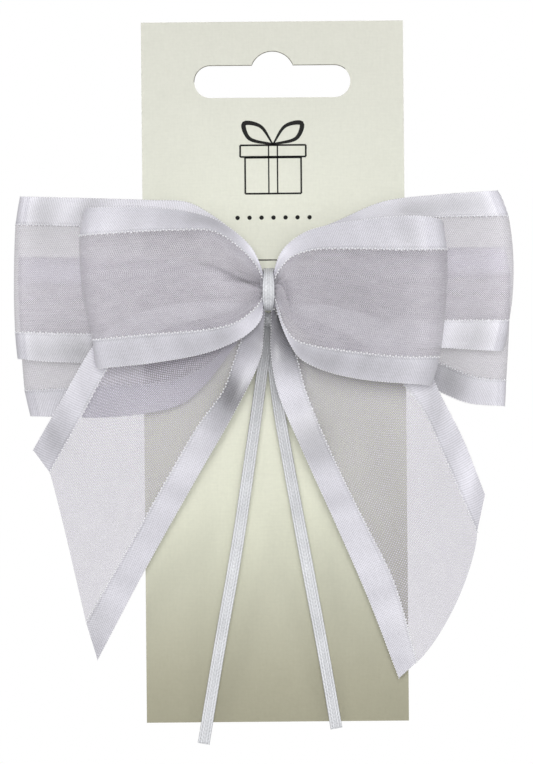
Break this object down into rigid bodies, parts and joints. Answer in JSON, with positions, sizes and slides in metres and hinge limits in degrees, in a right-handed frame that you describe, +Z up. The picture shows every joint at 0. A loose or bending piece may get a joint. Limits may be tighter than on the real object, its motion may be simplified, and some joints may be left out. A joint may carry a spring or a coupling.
{
  "type": "gift bow",
  "caption": "Pre-made gift bow of sheer ribbon with satin edges, looped and tailed, tied at its centre with narrow satin ribbon and held on a hang card.",
  "frame": {"origin": "top of the hang slot's centre bump, where a display hook bears, on the card's back face", "axes": "+Z up, with the card's length turned half a degree from it about Y, +Y out of the card's back, so the bow's front faces -Y, and +X to the right seen from the front"},
  "size_m": [0.125, 0.0281, 0.1809],
  "materials": {
    "pearl_card": "pearlescent, fine brushed grain",
    "organza": "sheer woven organza",
    "satin_edge": "glossy satin with a beaded woven line",
    "tie_satin": "white satin with woven edge lines",
    "wire_tie": "paper-covered wire"
  },
  "bodies": {
    "card": {"hang_card": "pearl_card", "twist_tie": "wire_tie"},
    "bow_core": {"gathered_centre": "satin_edge", "tie_wrap": "tie_satin", "tie_knot": "tie_satin", "tie_tail_left": "tie_satin", "tie_tail_right": "tie_satin"},
    "front_loop_left_body": {"front_loop_left": "organza"},
    "front_loop_right_body": {"front_loop_right": "organza"},
    "upper_back_loop_left_body": {"upper_back_loop_left": "organza"},
    "upper_back_loop_right_body": {"upper_back_loop_right": "organza"},
    "lower_back_loop_left_body": {"lower_back_loop_left": "organza"},
    "lower_back_loop_right_body": {"lower_back_loop_right": "organza"},
    "tail_left_body": {"tail_left": "organza"},
    "tail_right_body": {"tail_right": "organza"}
  },
  "joints": [
    {"name": "bow_lift_off", "type": "slide", "parent": "card", "child": "bow_core", "axis": [0, -1, 0], "range_m": [0, 0.08], "deforming": ["twist_tie"]},
    {"name": "front_loop_left_spread", "type": "hinge", "parent": "bow_core", "child": "front_loop_left_body", "pos_m": [-0.0044, -0.017, -0.0596], "axis": [0, 0, 1], "range_deg": [0, 25], "stiffness_Nm_per_rad": 0.0003},
    {"name": "front_loop_right_spread", "type": "hinge", "parent": "bow_core", "child": "front_loop_right_body", "pos_m": [0.0026, -0.017, -0.0596], "axis": [0, 0, -1], "range_deg": [0, 25], "stiffness_Nm_per_rad": 0.0003},
    {"name": "upper_back_loop_left_fan", "type": "hinge", "parent": "bow_core", "child": "upper_back_loop_left_body", "pos_m": [-0.0009, -0.0114, -0.0596], "axis": [0, 1, 0], "range_deg": [-4, 4]},
    {"name": "upper_back_loop_right_fan", "type": "hinge", "parent": "bow_core", "child": "upper_back_loop_right_body", "pos_m": [-0.0009, -0.0114, -0.0596], "axis": [0, 1, 0], "range_deg": [-4, 4]},
    {"name": "lower_back_loop_left_fan", "type": "hinge", "parent": "bow_core", "child": "lower_back_loop_left_body", "pos_m": [-0.0009, -0.0085, -0.0596], "axis": [0, 1, 0], "range_deg": [-4, 4]},
    {"name": "lower_back_loop_right_fan", "type": "hinge", "parent": "bow_core", "child": "lower_back_loop_right_body", "pos_m": [-0.0009, -0.0085, -0.0596], "axis": [0, 1, 0], "range_deg": [-4, 4]},
    {"name": "tail_left_swing", "type": "hinge", "parent": "bow_core", "child": "tail_left_body", "pos_m": [-0.0009, -0.0132, -0.0596], "axis": [0, -1, 0], "range_deg": [-6, 15]},
    {"name": "tail_right_swing", "type": "hinge", "parent": "bow_core", "child": "tail_right_body", "pos_m": [-0.0009, -0.0139, -0.0596], "axis": [0, 1, 0], "range_deg": [-6, 15]}
  ]
}
